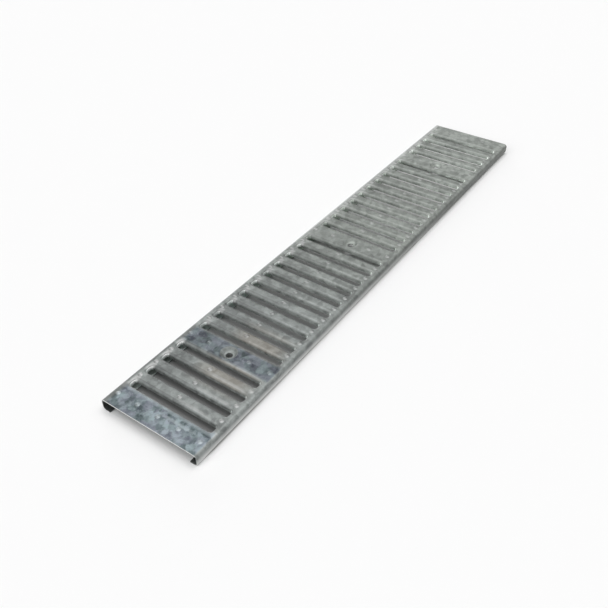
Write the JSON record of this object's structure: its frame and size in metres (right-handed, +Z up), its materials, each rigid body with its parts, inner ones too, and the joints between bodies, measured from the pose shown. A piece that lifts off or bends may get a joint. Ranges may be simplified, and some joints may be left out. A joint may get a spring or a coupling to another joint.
{
  "type": "channel drain grate",
  "caption": "Long pressed steel channel drain grate with crosswise slots, raised anti-slip studs, dished locking holes and long edges folded down and back in.",
  "frame": {"origin": "centre of the footprint, on the plane of the two lip undersides that rest in the channel", "axes": "+X along the length, +Y across the width, +Z up out of the walked-on face"},
  "size_m": [1, 0.17, 0.0212],
  "materials": {
    "galvanised": "hot-dip galvanised sheet steel with faint spangle"
  },
  "bodies": {
    "root": {"grate": "galvanised"}
  },
  "joints": []
}
